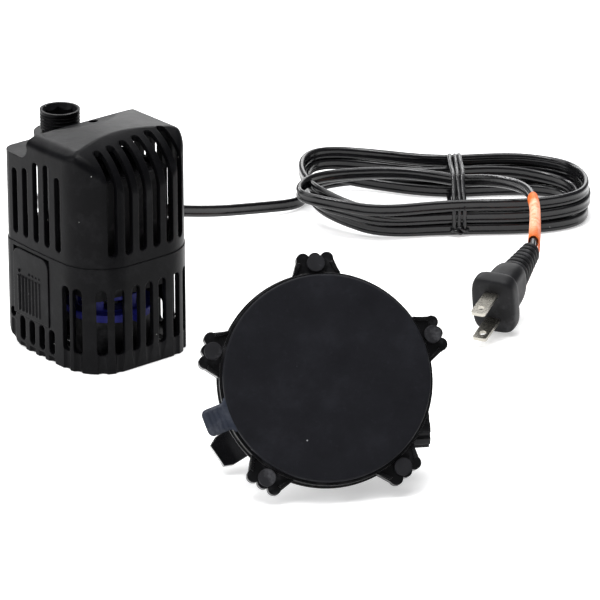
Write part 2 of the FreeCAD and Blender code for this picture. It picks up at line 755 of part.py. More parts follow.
def lug():
    """One trapezoid lug along +X with a scalloped end and two side ridges."""
    z0, z1 = -9.5, -4.5
    plate = prism([V(38, -11, z0), V(LUG_END - 3, -7.4, z0), V(LUG_END - 3, 7.4, z0),
                   V(38, 11, z0)], V(0, 0, z1 - z0))
    pieces = [plate]
    for y in (-4.8, 0, 4.8):
        pieces.append(cyl(2.7, z0, z1, LUG_END - 2.7, y))
    for side in (-1, 1):
        ridge = prism([V(42, side * 9.6, z1 - 0.2), V(LUG_END - 4, side * 7.2, z1 - 0.2),
                       V(LUG_END - 4, side * 5.8, z1 - 0.2), V(42, side * 8.2, z1 - 0.2)], V(0, 0, 1.2))
        pieces.append(ridge)
    return fuse(pieces)


def mount_frame():
    plate = cyl(RING_R, -9.5, -7)
    rim = tube(RING_R, RING_R - 3, -9.5, -3.3)
    bead = tube(RING_R + 0.7, RING_R - 1, -9.5, -7.9)
    tower = cyl(11, -TOWER_DEPTH, -7)
    ribs = [spin(box(9, 40, -1, 1, -13.5, -9), a) for a in (90, 150, 270)]
    sides = [(PIVOT_U - 11, PIVOT_U - 7.6), (PIVOT_U + 7.6, PIVOT_U + 11)]
    ears = [box(u0, u1, PIVOT_V - 6, PIVOT_V + 6, -PIVOT_DEPTH, -9) for u0, u1 in sides]
    knuckles = [Part.makeCylinder(6, u1 - u0, V(u0, PIVOT_V, -PIVOT_DEPTH), V(1, 0, 0)) for u0, u1 in sides]
    body = fuse([plate, rim, bead, tower] + ribs + ears + knuckles + [spin(lug(), a) for a in LUG_ANGLES])
    cuts = [
        cyl(STEM_HOLE_R, -30, 0), cyl(7.4, -20.5, -5),
        Part.makeCylinder(2.56, 40, V(0, PIVOT_V, -PIVOT_DEPTH), V(1, 0, 0)),
    ]
    for angle in LUG_ANGLES:
        cuts.append(spin(cyl(2.0, -8, -4, FOOT_AT, 0), angle))
    return body.cut(cuts)


def mount_feet():
    foot = fuse([cyl(2.0, -8, -4.5, FOOT_AT, 0), cyl(FOOT_R, -4.5, -1.8, FOOT_AT, 0)])
    return Part.makeCompound([spin(foot, a) for a in LUG_ANGLES])


def suction_disc():
    face = cyl(DISC_R, -DISC_T, 0)
    face = face.makeFillet(0.8, [e for e in face.Edges if e.Closed and e.CenterOfMass.z > -1])
    boss = cyl(10.5, -6.5, -DISC_T + 0.1)
    return fuse([face, boss]).cut(cyl(PLUNGER_R, -10, -2.4))


def pull_tab():
    """Ribbed ear of the disc that breaks its seal."""
    tab = box(DISC_R - 0.4, DISC_R + 10.6, -5.8, 5.8, -2.2, -0.6)
    tab = tab.makeFillet(2.5, edges_along(tab, V(0, 0, 1), lambda c: c.x > DISC_R + 5))
    ribs = [box(DISC_R + 2.0 + 2.1 * i, DISC_R + 3.0 + 2.1 * i, -4.8, 4.8, -0.7, -0.1) for i in range(4)]
    tab = fuse([tab] + ribs).cut(cyl(DISC_R, -5, 1))
    return spin(tab, 198)


def plunger_stem():
    stem = fuse([cyl(PLUNGER_R, -PIN_DEPTH - 4, -2.4), cyl(6.2, -7.8, -6.5)])
    hole = spin(Part.makeCylinder(1.5, 20, V(0, -10, -PIN_DEPTH), V(0, 1, 0)), LEVER_ANGLE)
    return stem.cut(hole)


def lever_pin():
    return spin(Part.makeCylinder(1.5, 17.6, V(0, -8.8, -PIN_DEPTH), V(0, 1, 0)), LEVER_ANGLE)


def plunger_spring():
    """Spring round the stem at its locked length: level coils joined by short rising links."""
    coils, low, high, r, wire = 5, -19.8, -9.2, 5.7, 0.55
    pitch = (high - low) / (coils - 1)
    pieces = []
    for i in range(coils):
        z = low + i * pitch
        pieces.append(Part.makeTorus(r, wire, V(0, 0, z), V(0, 0, 1)))
        if i < coils - 1:
            a = math.radians(20 + 90 * i)
            b = a + math.radians(30)
            pieces.append(rod(wire * 0.8, V(r * math.cos(a), r * math.sin(a), z),
                              V(r * math.cos(b), r * math.sin(b), z + pitch)))
    return fuse(pieces)


def cam_lever():
    """Forked lever: two eccentric cams on the pin and a dished thumb end."""
    at = V(0, 0, -PIN_DEPTH)
    cheeks = []
    for y0, y1 in ((-8.6, -4.4), (4.4, 8.6)):
        cam = Part.makeCylinder(CAM_R, y1 - y0, V(0, y0, -PIN_DEPTH + CAM_THROW), V(0, 1, 0))
        neck = box(-2, 16, y0, y1, -PIN_DEPTH - 5.0, -PIN_DEPTH + 1.0)
        cheeks += [cam, neck]
    arm = prism([V(9, -8.6, -PIN_DEPTH - 5), V(46, -6.6, -PIN_DEPTH - 5), V(49.5, -5.0, -PIN_DEPTH - 5),
                 V(49.5, 5.0, -PIN_DEPTH - 5), V(46, 6.6, -PIN_DEPTH - 5), V(9, 8.6, -PIN_DEPTH - 5)],
                V(0, 0, 6.0))
    dish = Part.makeCylinder(16, 30, V(44, -15, -PIN_DEPTH + 15.2), V(0, 1, 0))
    lever = fuse(cheeks + [arm]).cut([dish, Part.makeCylinder(1.56, 30, at + V(0, -15, 0), V(0, 1, 0))])
    return spin(lever, LEVER_ANGLE)


PIVOT = MOUNT_FRAME.multVec(V(PIVOT_U, PIVOT_V, -PIVOT_DEPTH))
ARM_BACK = V(-MOUNT_HEADING.x, -MOUNT_HEADING.y, 0)
ARM_FRAME = frame_placement(PIVOT, ARM_BACK, V(0, 0, 1))
ARM_DROP = PIVOT.z


def swivel_arm():
    """Arm from the pivot back to the cradle, with X along the arm and Y across it."""
    hub = Part.makeCylinder(5.5, 14.6, V(0, -7.3, 0), V(0, 1, 0))
    bar = prism([V(0, -4, -5.2), V(34, -4, -ARM_DROP + 1.2), V(34, -4, -ARM_DROP + 8), V(0, -4, 5.2)],
                V(0, 8, 0))
    foot = box(30, 38, -10, 10, -ARM_DROP, -ARM_DROP + 8)
    return fuse([hub, bar, foot]).cut(Part.makeCylinder(2.56, 30, V(0, -15, 0), V(0, 1, 0)))


def cradle():
    """Plate with a T slot that slides over the rail on the pump's back."""
    plate = box(38, 45.6, -12, 12, -ARM_DROP, -ARM_DROP + 26)
    plate = plate.makeFillet(2.0, edges_along(plate, V(1, 0, 0), lambda c: c.z > -ARM_DROP + 20))
    mouth = box(42.8, 47, -3.8, 3.8, -ARM_DROP + 3, -ARM_DROP + 30)
    groove = box(40.4, 43.0, -6.8, 6.8, -ARM_DROP + 3, -ARM_DROP + 30)
    return plate.cut([mouth, groove])


def pivot_bolt():
    shank = Part.makeCylinder(2.5, 29.5, V(0, -15.5, 0), V(0, 1, 0))
    head = Part.makeCylinder(4.4, 3.0, V(0, 11.0, 0), V(0, 1, 0))
    return fuse([shank, head])


def clamp_knob():
    body = Part.makeCylinder(8.0, 8.0, V(0, -19.3, 0), V(0, 1, 0))
    flutes = []
    for i in range(8):
        a = math.radians(45 * i)
        flutes.append(Part.makeCylinder(1.7, 12, V(8.6 * math.cos(a), -21, 8.6 * math.sin(a)), V(0, 1, 0)))
    return body.cut(flutes + [Part.makeCylinder(2.56, 6, V(0, -16, 0), V(0, 1, 0))])


# ---- build every piece ----

nodes["lower_cage"] = lower_cage()
nodes["upper_cover"] = upper_cover()
nodes["left_latch"] = latch(-1)
nodes["right_latch"] = latch(1)

nodes["motor_housing"] = motor_housing()
nodes["stator_core"] = stator_core()
nodes["coil_bobbin"] = coil_bobbin()
nodes["coil_winding"] = coil_winding()
nodes["potting"] = potting([nodes["stator_core"], nodes["coil_bobbin"], nodes["coil_winding"]])

nodes["rotor_magnet"] = rotor_magnet()
nodes["impeller"] = impeller()
nodes["rotor_shaft"] = cyl(SHAFT_R, WALL + 2.6, WELL_TOP - 0.6, 0, AXIS_Y)
nodes["lower_bush"] = bush(WALL + 2.6, WALL + 4.4, WALL + 2, WALL + 4.4)
nodes["upper_bush"] = bush(56.4, WELL_TOP - 0.6, 56.4, WELL_TOP)
nodes["impeller_cover"] = impeller_cover()

nodes["volute_housing"] = volute_housing()
nodes["riser_pipe"] = riser_pipe()
nodes["riser_seal"] = seal_ring(RISER_R + 0.85, 0.85, 30.85)
nodes["outlet_nipple"] = outlet_nipple()

nodes["cord_gland"] = cord_gland()
nodes["cord_lead"] = cord_tube(LEAD_ROUTE, "cord_lead")
nodes["cord_hank"] = cord_hank()
nodes["cord_tie"] = cord_tie()
nodes["cord_tail"] = cord_tube(TAIL_ROUTE, "cord_tail")
nodes["cord_tag"] = cord_tag()

blades = {"plug_blade_upper": blade(BLADE_SPACING / 2), "plug_blade_lower": blade(-BLADE_SPACING / 2)}
nodes["plug_body"] = moved(plug_body(list(blades.values())), PLUG_FRAME)
nodes["plug_strain_relief"] = moved(plug_strain_relief(), PLUG_FRAME)
for name, shape in blades.items():
    nodes[name] = moved(shape, PLUG_FRAME)

for build in (mount_frame, mount_feet, suction_disc, pull_tab, plunger_stem, lever_pin,
              plunger_spring, cam_lever):
    nodes[build.__name__] = moved(build(), MOUNT_FRAME)
for build in (swivel_arm, cradle, pivot_bolt, clamp_knob):
    nodes[build.__name__] = moved(build(), ARM_FRAME)

for name, shape in nodes.items():
    shape.exportStep("parts/%s.step" % name)
    print(name, "valid" if shape.isValid() else "INVALID", "solids", len(shape.Solids), round(shape.Volume, 1))
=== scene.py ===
import json
import math

import bmesh
import bpy
from mathutils import Matrix, Vector


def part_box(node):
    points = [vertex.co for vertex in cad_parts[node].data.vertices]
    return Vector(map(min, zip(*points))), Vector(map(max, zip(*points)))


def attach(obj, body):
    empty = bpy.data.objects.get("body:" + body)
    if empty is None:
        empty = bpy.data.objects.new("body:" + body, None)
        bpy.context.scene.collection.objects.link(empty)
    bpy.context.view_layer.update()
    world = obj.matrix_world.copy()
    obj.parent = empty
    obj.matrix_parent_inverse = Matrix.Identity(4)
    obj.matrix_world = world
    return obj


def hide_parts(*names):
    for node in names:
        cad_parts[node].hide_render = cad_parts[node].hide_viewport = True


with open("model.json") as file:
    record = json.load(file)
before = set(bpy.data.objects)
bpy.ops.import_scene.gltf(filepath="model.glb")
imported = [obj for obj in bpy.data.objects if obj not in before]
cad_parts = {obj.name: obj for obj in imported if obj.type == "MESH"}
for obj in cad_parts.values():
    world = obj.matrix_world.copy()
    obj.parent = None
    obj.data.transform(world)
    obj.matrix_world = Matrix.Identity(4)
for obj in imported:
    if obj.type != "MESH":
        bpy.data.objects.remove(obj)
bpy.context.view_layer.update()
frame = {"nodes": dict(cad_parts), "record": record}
nodes = frame["nodes"]
mounts = {mount["name"]: mount for mount in frame["record"]["mounts"]}
slots = {part["node"]: part["material_slot"] for part in frame["record"]["subparts"]}
MM = 0.001


# ---- camera ----

TARGET = Vector((0.06394, -0.05495, 0.020))
AZIMUTH = math.radians(-40)
ELEVATION = math.radians(22)
DISTANCE = 1.9
LENS = 266.4
SENSOR_WIDTH = 36
FAR_CLIP = 20


def make_camera():
    back = Vector((math.sin(AZIMUTH) * math.cos(ELEVATION),
                   -math.cos(AZIMUTH) * math.cos(ELEVATION), math.sin(ELEVATION)))
    data = bpy.data.cameras.new("camera")
    data.lens = LENS
    data.sensor_width = SENSOR_WIDTH
    data.clip_end = FAR_CLIP
    camera = link("camera", data)
    camera.location = TARGET + back * DISTANCE
    camera.rotation_euler = (-back).to_track_quat("-Z", "Y").to_euler()
    bpy.context.scene.camera = camera


# ---- mesh helpers ----

def link(name, data):
    piece = bpy.data.objects.new(name, data)
    bpy.context.collection.objects.link(piece)
    return piece


def smooth(mesh):
    mesh.polygons.foreach_set("use_smooth", [True] * len(mesh.polygons))


def solid(name, verts, faces):
    """A smooth closed mesh with every face looking outwards."""
    mesh = bpy.data.meshes.new(name)
    mesh.from_pydata([tuple(v) for v in verts], [], faces)
    shell = bmesh.new()
    shell.from_mesh(mesh)
    bmesh.ops.recalc_face_normals(shell, faces=shell.faces)
    shell.to_mesh(mesh)
    shell.free()
    smooth(mesh)
    return link(name, mesh)


def skin(name, rings):
    """A closed skin through rings of equal count, with a flat face over each end."""
    count = len(rings[0])
    verts = [point for ring in rings for point in ring]
    faces = []
    for i in range(len(rings) - 1):
        a, b = i * count, (i + 1) * count
        for j in range(count):
            k = (j + 1) % count
            faces.append((a + j, a + k, b + k, b + j))
    faces.append(tuple(range(count))[::-1])
    faces.append(tuple(range(len(verts) - count, len(verts))))
    return solid(name, verts, faces)


def subdivide(piece):
    modifier = piece.modifiers.new("rounding", "SUBSURF")
    modifier.levels = 1
    modifier.render_levels = 1


def squircle(half_a, half_b, power, count):
    """Points of a rounded rectangle about the origin, anticlockwise."""
    ring = []
    for i in range(count):
        angle = 2 * math.pi * (i + 0.5) / count
        c, s = math.cos(angle), math.sin(angle)
        ring.append((half_a * math.copysign(abs(c) ** (2 / power), c),
                     half_b * math.copysign(abs(s) ** (2 / power), s)))
    return ring


def mix(a, b, t):
    return a + (b - a) * t


def ease(t):
    """0 up to 0 and 1 from 1 on, with a smooth step between them."""
    t = min(1.0, max(0.0, t))
    return t * t * (3 - 2 * t)


# ---- finishes: colours are linear, lengths are metres ----

BLACK = (0.0030, 0.0030, 0.0036)
SCUFF_GREY = (0.30, 0.30, 0.32)
SCUFF_SIZE = 0.009
DUST_GREY = (0.5, 0.5, 0.48)
DUST_SPACING = 0.0035
DUST_SIZE = 0.00022
OFF = (0, 0, 0)
ON = (1, 1, 1)
# The phase that a wave texture gains over one unit of its own coordinate, in radians.
WAVE_PHASE = 20


class Finish:
    """A Principled material whose patterns are sized in metres of the object's own space."""

    def __init__(self, name, **numbers):
        self.material = bpy.data.materials.new(name)
        self.material.use_nodes = True
        self.tree = self.material.node_tree
        self.shader = self.tree.nodes["Principled BSDF"]
        for socket, value in numbers.items():
            self.shader.inputs[socket.replace("_", " ")].default_value = value
        self.space = self.add("ShaderNodeTexCoord").outputs["Object"]
        self.normal = None

    def add(self, kind, **inputs):
        node = self.tree.nodes.new(kind)
        for name, value in inputs.items():
            socket = node.inputs[name.replace("_", " ")]
            if isinstance(value, bpy.types.NodeSocket):
                self.tree.links.new(value, socket)
            else:
                socket.default_value = value
        return node

    def stretched(self, scale):
        return self.add("ShaderNodeMapping", Vector=self.space, Scale=scale).outputs[0]

    def noise(self, size, detail=2.0, roughness=0.5, space=None):
        """Noise with features about `size` metres across."""
        node = self.add("ShaderNodeTexNoise", Vector=space or self.space, Scale=1 / size,
                        Detail=detail, Roughness=roughness)
        return node.outputs["Fac"]

    def specks(self, spacing, size, share):
        """Small round specks on a grid of cells, in `share` of them: 1 inside a speck."""
        cells = self.add("ShaderNodeTexVoronoi", Vector=self.space, Scale=1 / spacing)
        radius = size / spacing
        near = self.ramp(cells.outputs["Distance"], (radius * 0.6, ON), (radius, OFF))
        pick = self.add("ShaderNodeSeparateColor", Color=cells.outputs["Color"]).outputs[0]
        chosen = self.ramp(pick, (share * 0.98, ON), (share, OFF))
        return self.maths("MULTIPLY", near, chosen)

    def maths(self, operation, a, b):
        node = self.tree.nodes.new("ShaderNodeMath")
        node.operation = operation
        for socket, value in zip(node.inputs, (a, b)):
            if isinstance(value, bpy.types.NodeSocket):
                self.tree.links.new(value, socket)
            else:
                socket.default_value = value
        return node.outputs[0]

    def ramp(self, value, *stops):
        """A colour ramp through stops of (position, colour)."""
        node = self.add("ShaderNodeValToRGB", Fac=value)
        elements = node.color_ramp.elements
        while len(elements) < len(stops):
            elements.new(0.5)
        for element, (position, colour) in zip(elements, stops):
            element.position = position
            element.color = (*colour, 1)
        return node.outputs["Color"]

    def mix(self, factor, a, b):
        node = self.tree.nodes.new("ShaderNodeMix")
        node.data_type = "RGBA"
        for socket, value in ((node.inputs[0], factor), (node.inputs[6], a), (node.inputs[7], b)):
            if isinstance(value, bpy.types.NodeSocket):
                self.tree.links.new(value, socket)
            elif socket is node.inputs[0]:
                socket.default_value = value
            else:
                socket.default_value = (*value, 1)
        return node.outputs[2]

    def colour(self, socket):
        self.tree.links.new(socket, self.shader.inputs["Base Color"])

    def roughness(self, value, low, high):
        fac = self.add("ShaderNodeMapRange", Value=value, To_Min=low, To_Max=high).outputs[0]
        self.tree.links.new(fac, self.shader.inputs["Roughness"])

    def soft_edges(self, radius):
        self.normal = self.add("ShaderNodeBevel", Radius=radius).outputs[0]

    def bump(self, height, depth):
        node = self.add("ShaderNodeBump", Height=height, Distance=depth)
        if self.normal is not None:
            self.tree.links.new(self.normal, node.inputs["Normal"])
        self.normal = node.outputs[0]

    def done(self):
        if self.normal is not None:
            self.tree.links.new(self.normal, self.shader.inputs["Normal"])
        return self.material


def shade(colour, factor):
    return tuple(c * factor for c in colour)


def moulded(name, colour, low, high, grain=0.0006, edges=0.0004, mottle=0.012, dust=0.0, scuff=0.0, **more):
    """Moulded plastic or rubber: fine grain, slow mottling, handling marks and soft edges."""
    f = Finish(name, **{"Specular_IOR_Level": 0.16, **more})
    slow = f.noise(mottle, 3)
    base = f.ramp(slow, (0.3, shade(colour, 0.8)), (0.7, shade(colour, 1.25)))
    if scuff:
        patch = f.ramp(f.noise(SCUFF_SIZE, 5, 0.65), (0.52, OFF), (0.78, (scuff,) * 3))
        base = f.mix(patch, base, SCUFF_GREY)
    if dust:
        base = f.mix(f.specks(DUST_SPACING, DUST_SIZE, dust), base, DUST_GREY)
    f.colour(base)
    f.roughness(f.noise(mottle * 0.5, 4), low, high)
    if edges:
        f.soft_edges(edges)
    f.bump(f.noise(grain, 2), grain * 0.05)
    f.bump(f.noise(mottle * 0.6, 2), 0.00012)
    return f.done()


def brushed(name, colour, low, high, stretch):
    """Bare metal with fine marks, drawn out across the axis with the largest `stretch`."""
    f = Finish(name, Metallic=1.0)
    hair = f.noise(0.0012, 3, space=f.stretched(stretch))
    f.colour(f.mix(f.noise(0.004, 4), shade(colour, 0.8), colour))
    f.roughness(hair, low, high)
    f.bump(hair, 0.000006)
    return f.done()


def striped(name, colour, gap, pitch, axis, low, high):
    """Even metal stripes across one axis: stacked laminations or the turns of a winding."""
    f = Finish(name, Metallic=1.0)
    scale = 2 * math.pi / pitch / WAVE_PHASE
    wave = f.add("ShaderNodeTexWave", Vector=f.space, Scale=scale, Distortion=0.15)
    wave.bands_direction = axis
    lines = wave.outputs["Fac"]
    f.colour(f.mix(f.noise(0.003, 3), f.ramp(lines, (0.1, gap), (0.45, colour)), colour))
    f.roughness(f.noise(0.002, 3), low, high)
    f.bump(lines, 0.0001)
    return f.done()


def cord_finish():
    """Glossy black cord, slightly uneven, with dust on it."""
    f = Finish("cord_pvc", Specular_IOR_Level=0.42)
    base = f.ramp(f.noise(0.03, 2), (0.3, (0.0025, 0.0025, 0.003)), (0.7, (0.004, 0.004, 0.005)))
    f.colour(f.mix(f.specks(0.004, 0.0002, 0.06), base, (0.35, 0.35, 0.34)))
    f.roughness(f.noise(0.006, 3), 0.16, 0.28)
    f.bump(f.noise(0.005, 2), 0.00018)
    f.bump(f.noise(0.0007, 2), 0.00001)
    return f.done()


def disc_finish():
    """Dull nitrile rubber with pale bloom, wipe marks and a few dust specks."""
    f = Finish("disc_rubber", Specular_IOR_Level=0.12)
    smudge = f.noise(0.016, 6, 0.62)
    fine = f.noise(0.0022, 5, 0.7)
    base = f.ramp(smudge, (0.34, (0.0050, 0.0052, 0.0072)), (0.55, (0.0066, 0.0069, 0.0094)),
                  (0.74, (0.0105, 0.0110, 0.0145)))
    bloom = f.ramp(fine, (0.56, OFF), (0.8, (0.22,) * 3))
    base = f.mix(bloom, base, (0.024, 0.025, 0.032))
    f.colour(f.mix(f.specks(0.006, 0.00035, 0.05), base, (0.35, 0.36, 0.38)))
    f.roughness(smudge, 0.48, 0.72)
    f.soft_edges(0.0006)
    f.bump(f.noise(0.0009, 3), 0.00004)
    f.bump(f.noise(0.02, 2), 0.0003)
    return f.done()


def tag_finish():
    """Orange paper wrap with a paler worn label area along its middle."""
    f = Finish("tag_paper", Roughness=0.55, Specular_IOR_Level=0.3)
    label = f.add("ShaderNodeAttribute")
    label.attribute_name = "label"
    speckle = f.noise(0.0011, 4, 0.7)
    orange = f.ramp(speckle, (0.35, (0.62, 0.10, 0.010)), (0.65, (0.80, 0.17, 0.02)))
    pale = f.ramp(speckle, (0.35, (0.86, 0.34, 0.17)), (0.62, (0.88, 0.50, 0.36)))
    wear = f.ramp(f.noise(0.0025, 3), (0.3, (0.35,) * 3), (0.5, ON))
    worn = f.maths("MULTIPLY", label.outputs["Fac"], wear)
    f.colour(f.mix(worn, orange, pale))
    f.bump(f.noise(0.0006, 3), 0.00004)
    f.bump(f.noise(0.004, 2), 0.0004)
    return f.done()


FINISHES = {
    "casing_plastic": lambda: moulded("casing_plastic", BLACK, 0.27, 0.36, dust=0.10, scuff=0.02,
                                      edges=0.0006, Specular_IOR_Level=0.06),
    "motor_plastic": lambda: moulded("motor_plastic", BLACK, 0.45, 0.6, scuff=0.15),
    "resin": lambda: moulded("resin", (0.012, 0.012, 0.013), 0.12, 0.25, mottle=0.02),
    "lamination_steel": lambda: striped("lamination_steel", (0.42, 0.42, 0.43), (0.08, 0.07, 0.07),
                                        0.0005, "Y", 0.3, 0.45),
    "bobbin_plastic": lambda: moulded("bobbin_plastic", (0.62, 0.60, 0.54), 0.4, 0.55),
    "copper": lambda: striped("copper", (0.72, 0.30, 0.14), (0.2, 0.06, 0.03), 0.0004, "X", 0.25, 0.4),
    "ferrite": lambda: moulded("ferrite", (0.035, 0.034, 0.035), 0.5, 0.7, grain=0.0004),
    "impeller_plastic": lambda: moulded("impeller_plastic", (0.55, 0.55, 0.53), 0.35, 0.5),
    "shaft_ceramic": lambda: moulded("shaft_ceramic", (0.80, 0.79, 0.75), 0.12, 0.22, grain=0.0003),
    "black_rubber": lambda: moulded("black_rubber", (0.015, 0.015, 0.015), 0.6, 0.8),
    "blue_plastic": lambda: moulded("blue_plastic", (0.012, 0.014, 0.16), 0.3, 0.42),
    "gland_rubber": lambda: moulded("gland_rubber", (0.012, 0.012, 0.013), 0.45, 0.6),
    "cord_pvc": cord_finish,
    "tie_plastic": lambda: moulded("tie_plastic", (0.004, 0.004, 0.005), 0.16, 0.26, edges=0.0003,
                                   mottle=0.004, Specular_IOR_Level=0.4),
    "tag_paper": tag_finish,
    "plug_pvc": lambda: moulded("plug_pvc", (0.0075, 0.0075, 0.0085), 0.42, 0.58, scuff=0.12, edges=0,
                                grain=0.0005, dust=0.04),
    "blade_metal": lambda: brushed("blade_metal", (0.46, 0.44, 0.39), 0.2, 0.36, (1, 1, 8)),
    "mount_plastic": lambda: moulded("mount_plastic", (0.0045, 0.0045, 0.005), 0.22, 0.36, scuff=0.12,
                                     edges=0.0006),
    "disc_rubber": disc_finish,
    "tab_rubber": lambda: moulded("tab_rubber", (0.020, 0.024, 0.036), 0.45, 0.6, scuff=0.15,
                                  edges=0.0005),
    "foot_rubber": lambda: moulded("foot_rubber", (0.012, 0.012, 0.014), 0.5, 0.7, scuff=0.25,
                                   edges=0.0006),
    "stainless": lambda: brushed("stainless", (0.60, 0.60, 0.61), 0.2, 0.35, (1, 1, 6)),
    "plunger_plastic": lambda: moulded("plunger_plastic", (0.02, 0.02, 0.021), 0.35, 0.5),
    "lever_plastic": lambda: moulded("lever_plastic", (0.006, 0.006, 0.007), 0.10, 0.2, edges=0.0008,
                                     Specular_IOR_Level=0.6),
    "knob_plastic": lambda: moulded("knob_plastic", (0.005, 0.005, 0.006), 0.3, 0.45, edges=0.0006),
}
made_finishes = {}


def finish(name):
    if name not in made_finishes:
        made_finishes[name] = FINISHES[name]()
    return made_finishes[name]


def coat(piece, look):
    piece.data.materials.clear()
    piece.data.materials.append(finish(look))


def dress(piece, slot):
    coat(piece, slot)


def dress_frame():
    """The CAD's own pieces; the feet share a slot with other rubber and get a look of their own."""
    for name, piece in nodes.items():
        coat(piece, "foot_rubber" if name == "mount_feet" else slots[name])


# ---- supply cord ----

LEAD_ROUTE = [
    (13, 40, 43), (13, 60, 42), (23, 78, 38), (42, 87.5, 31), (67, 85, 23),
    (92, 76, 16), (117, 71.5, 10.5), (143, 72.5, 5.5), (168.5, 67.7, 3),
]
TAIL_ROUTE = [
    (215.5, 11.7, 19.0), (222, -2.5, 22.0), (222.5, -20, 24.6), (216.5, -36.7, 26),
    (196.6, -60, 25.6), (174.97, -81.2, 23),
]
HANK_CENTRE = Vector((214, 20, 0))
HANK_TURN = math.radians(-34.5)
TIE_SHIFT = 7.5
CORD_W = 5.6
CORD_T = 2.8
CURVE_STEPS = 8
# Points round each core of the cord's section, and the degrees that they cover.
CORE_POINTS = 15
CORE_ARC = 250
# Each turn, clockwise from its left end: left and right reach; half widths at the left, tie and right;
# left shift towards the far side; heights at the left end, far side, right end and near side.
TURNS = [
    (66, 66, 34, 24.5, 30.5, 12, 3.0, 5.6, 3.0, 3.0),
    (62, 61, 33, 21.0, 27.0, 13, 8.7, 3.0, 3.0, 3.0),
    (64, 67, 35, 24.5, 31.0, 13, 13.8, 11.4, 9.6, 8.7),
    (63, 62, 28, 21.0, 26.0, -6, 14.8, 12.9, 8.7, 8.7),
    (66, 66, 36, 24.0, 31.0, 11, 19.5, 17.2, 15.0, 14.4),
    (68, 66, 33, 23.0, 30.0, -9, 19.0, 14.4, 14.4, 14.4),
]
# The last pass, in the hank's own axes: round the left end and over the middle to the tie.
LAST_PASS = [(-71, -20, 19.5), (-66, -5, 20.5), (-55, 2.5, 20.5), (-38, 6, 20), (-20, 6, 19.5), (-5, 1, 19)]
# Points in a turn, and the one after which it eases into the next.
STEPS = 16
BLEND_FROM = 11
# How square a turn is, how far from the tie it's pinched in, and where its shift comes in.
END_POWER = 0.7
SIDE_POWER = 0.65
WAIST = 40
SHIFT_FROM = 10
SHIFT_OVER = 50
# A turn's height eases from its side's to its end's over this range of the cosine of its angle.
END_HEIGHT_FROM = 0.3
END_HEIGHT_OVER = 0.6


def hank_point(x, y, z):
    """A point given in the hank's own axes, in the frame's."""
    c, s = math.cos(HANK_TURN), math.sin(HANK_TURN)
    return (HANK_CENTRE.x + x * c - y * s, HANK_CENTRE.y + x * s + y * c, z)


def turn_point(row, angle):
    """A point of one turn; half a circle is its left end, a quarter its far side, 0 its right end."""
    left, right, wide_left, wide_tie, wide_right, shift, z_left, z_far, z_right, z_near = row
    c, s = math.cos(angle), math.sin(angle)
    x = math.copysign(abs(c) ** END_POWER, c) * (right if c > 0 else left)
    lobe = wide_right if x > TIE_SHIFT else wide_left
    half = mix(wide_tie, lobe, ease(abs(x - TIE_SHIFT) / WAIST))
    y = math.copysign(abs(s) ** SIDE_POWER, s) * half + shift * ease((-x - SHIFT_FROM) / SHIFT_OVER)
    z_end = z_right if c > 0 else z_left
    z_side = z_far if s > 0 else z_near
    return hank_point(x, y, mix(z_side, z_end, ease((abs(c) - END_HEIGHT_FROM) / END_HEIGHT_OVER)))


def hank_points():
    """Every turn of the hank, clockwise from its left end, each easing into the next."""
    points = []
    for k in range(len(TURNS) - 1):
        for step in range(STEPS):
            blend = ease((step - BLEND_FROM) / (STEPS - BLEND_FROM))
            blended = [mix(a, b, blend) for a, b in zip(TURNS[k], TURNS[k + 1])]
            points.append(turn_point(blended, math.pi * (1 - 2 * step / STEPS)))
    return points[1:-1] + [hank_point(*point) for point in LAST_PASS]


def cord_profile():
    """Section of a flat twin cord: two round cores and the groove between them."""
    data = bpy.data.curves.new("cord_section", "CURVE")
    data.dimensions = "2D"
    spline = data.splines.new("POLY")
    core = CORD_T / 2
    offset = CORD_W / 2 - core
    outline = []
    for side, start in ((1, -125), (-1, 55)):
        for i in range(CORE_POINTS):
            angle = math.radians(start + CORE_ARC / (CORE_POINTS - 1) * i)
            outline.append((core * math.sin(angle), side * offset + core * math.cos(angle)))
    spline.points.add(len(outline) - 1)
    for point, (x, y) in zip(spline.points, outline):
        point.co = (x * MM, y * MM, 0, 1)
    spline.use_cyclic_u = True
    profile = link("cord_section", data)
    profile.hide_render = True
    profile.hide_viewport = True
    return profile


def nurbs(name, points, closed=False):
    """A smooth line through the control points given in millimetres."""
    data = bpy.data.curves.new(name, "CURVE")
    data.dimensions = "3D"
    data.twist_mode = "Z_UP"
    data.resolution_u = CURVE_STEPS
    spline = data.splines.new("NURBS")
    spline.points.add(len(points) - 1)
    for control, point in zip(spline.points, points):
        control.co = (point[0] * MM, point[1] * MM, point[2] * MM, 1)
    spline.order_u = 3
    spline.use_endpoint_u = not closed
    spline.use_cyclic_u = closed
    return link(name, data)


def line_points(curve):
    """The points that a curve with no bevel gives, in metres."""
    mesh = bpy.data.meshes.new_from_object(curve)
    points = [v.co.copy() for v in mesh.vertices]
    bpy.data.meshes.remove(mesh)
    return points


def make_cord():
    """The whole cord as one curve, from the gland through the hank to the plug."""
    curve = nurbs("supply_cord", LEAD_ROUTE + hank_points() + TAIL_ROUTE)
    centre_line = line_points(curve)
    curve.data.bevel_mode = "OBJECT"
    curve.data.bevel_object = cord_profile()
    curve.data.use_fill_caps = True
    dress(curve, "cord_pvc")
    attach(curve, "pump")
    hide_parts("cord_lead", "cord_hank", "cord_tail")
    return curve, centre_line


# ---- tie round the hank ----

TIE_OUTLINE = [
    (26.6, 1.2), (27.2, 9), (27.0, 17), (24.5, 21.3), (14, 21.2), (3, 22.4), (-3, 22.8), (-10, 22.0),
    (-16, 19.8), (-23, 18.3), (-26.4, 15), (-26.9, 8), (-26.4, 1.2), (-22, 0.7), (0, 0.7), (22, 0.7),
]
TIE_SKEW = 0.08
TIE_SKEW_CENTRE = 26
TIE_SWAY = 0.6
TIE_SWAY_STEP = 1.1
